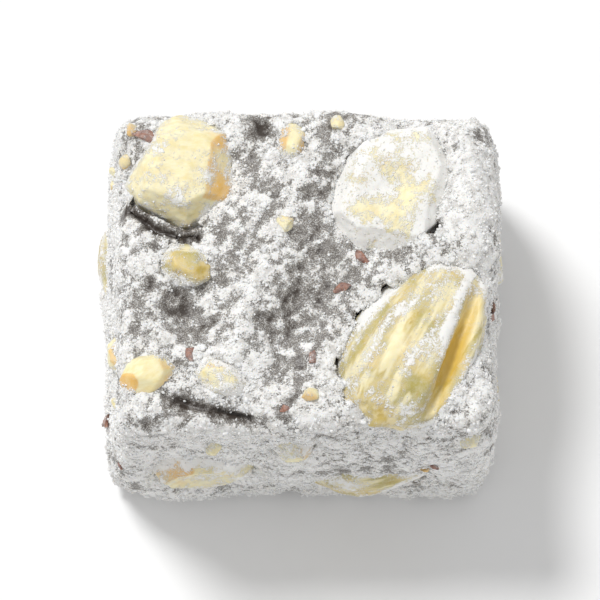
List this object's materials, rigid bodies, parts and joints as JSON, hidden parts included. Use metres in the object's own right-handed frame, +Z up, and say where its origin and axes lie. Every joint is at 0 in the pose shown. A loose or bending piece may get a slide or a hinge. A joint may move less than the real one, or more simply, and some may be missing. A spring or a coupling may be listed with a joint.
{
  "type": "turkish delight cube",
  "caption": "Soft-edged cut cube of jelly sweet with hazelnut and pistachio pieces set in its faces, dusted all over with powdered sugar.",
  "frame": {"origin": "middle of the flat underside, on the surface that the cube rests on", "axes": "+Z up; +X along the cube's width; +Y along its depth, away from the side that shows in the picture"},
  "size_m": [0.0268, 0.0242, 0.022],
  "materials": {
    "dusted_jelly": "dark jelly under a patchy coat of white powder",
    "hazelnut": "pale roasted nut, dusted",
    "pistachio": "yellow-green nut, dusted"
  },
  "bodies": {
    "root": {"jelly": "dusted_jelly", "hazelnut_chunk_top": "hazelnut", "hazelnut_half_top": "hazelnut", "pistachio_kernel_top": "pistachio", "hazelnut_sliver_top": "hazelnut", "hazelnut_slice_top": "hazelnut", "pistachio_bit_top": "pistachio", "hazelnut_bit_top": "hazelnut", "hazelnut_half_front": "hazelnut", "pistachio_kernel_front": "pistachio", "hazelnut_chunk_front": "hazelnut", "pistachio_kernel_left": "pistachio", "hazelnut_chunk_left": "hazelnut", "hazelnut_half_right": "hazelnut", "pistachio_chunk_right": "pistachio", "hazelnut_half_back": "hazelnut", "pistachio_kernel_back": "pistachio"}
  },
  "joints": []
}
